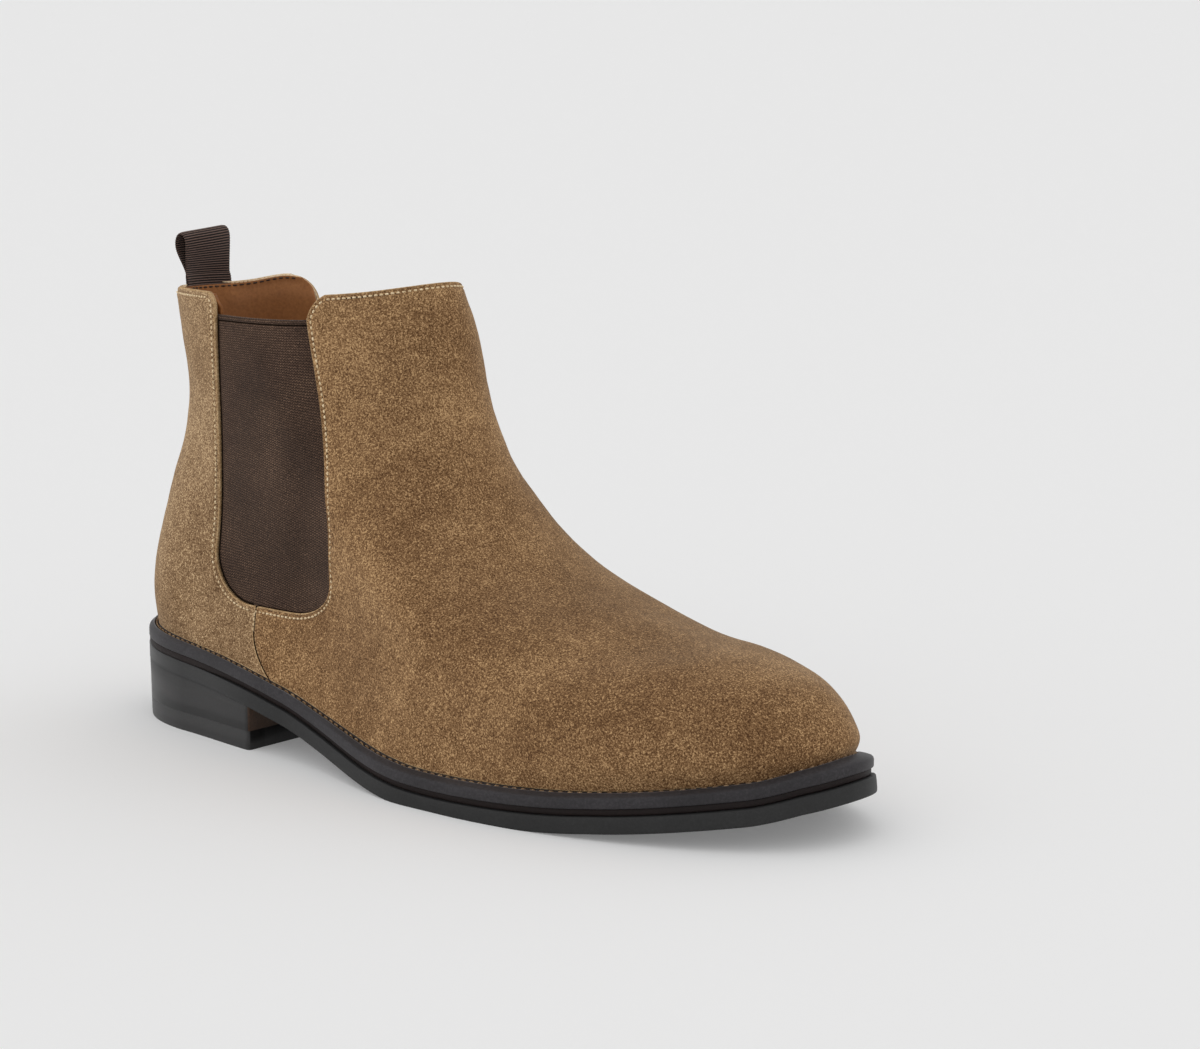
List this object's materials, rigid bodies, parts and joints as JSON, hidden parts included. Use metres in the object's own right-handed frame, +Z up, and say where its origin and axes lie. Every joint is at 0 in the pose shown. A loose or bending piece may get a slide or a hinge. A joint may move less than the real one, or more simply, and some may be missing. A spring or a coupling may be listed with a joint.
{
  "type": "chelsea boot",
  "caption": "Ankle boot for the right foot with a suede upper, elastic side gores, a tape pull loop at the back, a stitched welt and a stacked heel.",
  "frame": {"origin": "centre of the bounding box, on the ground that the boot stands on", "axes": "+X towards the toe, +Z up, -Y is the outer side of the right foot"},
  "size_m": [0.2994, 0.1084, 0.1708],
  "materials": {
    "outsole": "matte black rubber",
    "midsole": "matte black, recessed edge",
    "welt": "black, slightly shiny bevelled edge",
    "heel_block": "stacked leather with a glossy black edge, brown at the breast",
    "top_lift": "black rubber",
    "heel_nails": "steel",
    "cork_filler": "cork",
    "shank": "spring steel",
    "insole_board": "leather fibre board",
    "sock_liner": "brown leather",
    "heel_pad": "brown leather over foam",
    "vamp": "tan suede",
    "quarter_outer": "tan suede",
    "quarter_inner": "tan suede",
    "back_tab_outer": "tan suede",
    "back_tab_inner": "tan suede",
    "gore_outer": "brown woven elastic",
    "gore_inner": "brown woven elastic",
    "vamp_lining": "brown leather",
    "quarter_lining": "brown leather",
    "back_tab_lining": "brown leather",
    "heel_counter": "stiff fibre board",
    "toe_puff": "stiff fibre sheet",
    "back_strip": "dark brown grosgrain tape",
    "tab_strip": "dark brown grosgrain tape",
    "loop_ends": "dark brown grosgrain tape",
    "pull_loop": "dark brown grosgrain tape"
  },
  "bodies": {
    "root": {"outsole": "outsole", "midsole": "midsole", "welt": "welt", "heel_block": "heel_block", "top_lift": "top_lift", "heel_nails": "heel_nails", "cork_filler": "cork_filler", "shank": "shank", "insole_board": "insole_board", "sock_liner": "sock_liner", "heel_pad": "heel_pad", "vamp": "vamp", "quarter_outer": "quarter_outer", "quarter_inner": "quarter_inner", "gore_outer": "gore_outer", "gore_inner": "gore_inner", "vamp_lining": "vamp_lining", "quarter_lining": "quarter_lining", "heel_counter": "heel_counter", "toe_puff": "toe_puff", "back_strip": "back_strip"},
    "back_tab": {"back_tab_outer": "back_tab_outer", "back_tab_inner": "back_tab_inner", "back_tab_lining": "back_tab_lining", "tab_strip": "tab_strip", "loop_ends": "loop_ends"},
    "loop": {"pull_loop": "pull_loop"}
  },
  "joints": [
    {"name": "shaft_lean", "type": "hinge", "parent": "root", "child": "back_tab", "pos_m": [-0.1432, 0.0034, 0.081], "axis": [0, -1, 0], "range_deg": [0, 12], "stiffness_Nm_per_rad": 3, "deforming": ["gore_outer", "gore_inner"]},
    {"name": "loop_fold", "type": "hinge", "parent": "back_tab", "child": "loop", "pos_m": [-0.1337, 0.0034, 0.1536], "axis": [0, 1, 0], "range_deg": [-70, 70], "stiffness_Nm_per_rad": 0.004}
  ]
}
